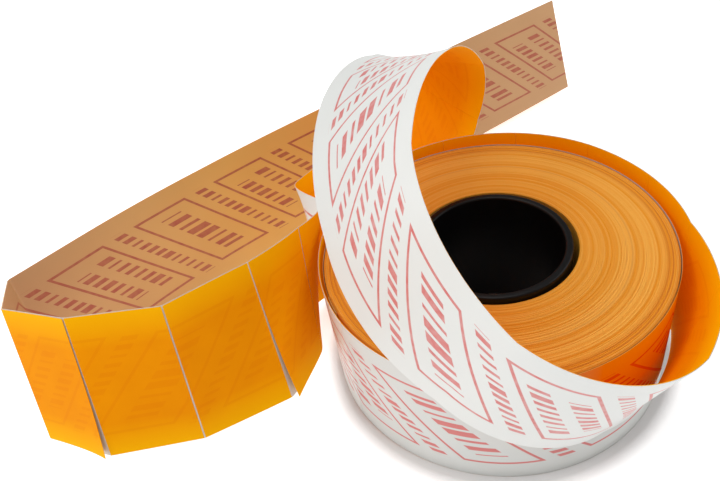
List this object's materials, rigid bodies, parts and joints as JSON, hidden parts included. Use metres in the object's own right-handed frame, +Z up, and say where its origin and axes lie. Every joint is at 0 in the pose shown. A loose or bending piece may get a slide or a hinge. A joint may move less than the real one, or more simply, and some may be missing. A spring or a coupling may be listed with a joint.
{
  "type": "roll of price-gun labels",
  "caption": "Roll of self-adhesive price labels on a black plastic core, lying flat, with a long loose strip looped over it and folded back into a tail.",
  "frame": {"origin": "middle of the bounding box's bottom, on the surface that the roll lies on", "axes": "+Z up along the roll's axis, +X along the longest extent, from the folded end of the strip to its cut end"},
  "size_m": [0.1472, 0.1274, 0.0598],
  "materials": {
    "core": "black moulded plastic, satin",
    "pack": "edges of many wound paper layers, matte",
    "liner": "glazed backing paper with a pale red print",
    "label": "fluorescent orange paper, matte"
  },
  "bodies": {
    "roll": {"pack": "pack", "liner_01": "liner", "liner_02": "liner", "liner_03": "liner", "liner_04": "liner", "liner_05": "liner", "liner_06": "liner", "liner_07": "liner", "liner_08": "liner", "liner_09": "liner", "label_01": "label", "label_02": "label", "label_03": "label", "label_04": "label", "label_05": "label", "label_06": "label", "label_07": "label", "label_08": "label", "label_09": "label", "label_10": "label", "label_11": "label", "label_12": "label", "label_13": "label", "label_14": "label", "label_15": "label", "label_16": "label", "label_17": "label", "label_18": "label", "label_19": "label", "label_20": "label", "label_21": "label", "label_22": "label", "label_23": "label", "label_24": "label"},
    "core": {"core": "core"},
    "label_25": {"label_25": "label"},
    "strip_a": {"liner_10": "liner", "label_26": "label"},
    "strip_b": {"liner_11": "liner", "label_27": "label"},
    "strip_c": {"liner_12": "liner"},
    "label_28": {"label_28": "label"},
    "strip_d": {"liner_13": "liner", "label_29": "label"},
    "tail": {"liner_14": "liner", "liner_15": "liner", "liner_16": "liner", "liner_17": "liner", "label_30": "label", "label_31": "label", "label_32": "label", "label_33": "label", "label_34": "label", "label_35": "label", "label_36": "label", "label_37": "label", "label_38": "label"},
    "label_39": {"label_39": "label"}
  },
  "joints": [
    {"name": "core_turn", "type": "hinge", "parent": "roll", "child": "core", "pos_m": [0.01322, -0.02091, 0.0135], "axis": [0, 0, 1], "continuous": true},
    {"name": "fold_1", "type": "hinge", "parent": "roll", "child": "strip_a", "pos_m": [-0.0295, -0.02425, 0.02625], "axis": [0.0067, -0.4192, -0.9079], "range_deg": [-26, 0]},
    {"name": "fold_2", "type": "hinge", "parent": "strip_a", "child": "strip_b", "pos_m": [-0.0443, -0.02981, 0.0287], "axis": [-0.0592, -0.2672, -0.9618], "range_deg": [-35, 0]},
    {"name": "fold_3", "type": "hinge", "parent": "strip_b", "child": "strip_c", "pos_m": [-0.05987, -0.0261, 0.02863], "axis": [-0.0785, -0.3477, -0.9343], "range_deg": [-30, 0]},
    {"name": "fold_4", "type": "hinge", "parent": "strip_c", "child": "strip_d", "pos_m": [-0.07161, -0.01563, 0.02572], "axis": [-0.0785, -0.3477, -0.9343], "range_deg": [-45, 0]},
    {"name": "fold_5", "type": "hinge", "parent": "strip_d", "child": "tail", "pos_m": [-0.07227, -0.00063, 0.02019], "axis": [0.0957, -0.3404, -0.9354], "range_deg": [-50, 0]},
    {"name": "peel_25", "type": "hinge", "parent": "roll", "child": "label_25", "pos_m": [-0.02053, -0.01221, 0.02086], "axis": [0.0929, 0.3532, 0.9309], "range_deg": [0, 30]},
    {"name": "peel_28", "type": "hinge", "parent": "strip_c", "child": "label_28", "pos_m": [-0.07161, -0.01563, 0.02572], "axis": [-0.0785, -0.3477, -0.9343], "range_deg": [0, 75]},
    {"name": "peel_39", "type": "hinge", "parent": "tail", "child": "label_39", "pos_m": [0.05685, 0.05644, 0.01413], "axis": [-0.1118, 0.3134, 0.943], "range_deg": [0, 75]}
  ]
}
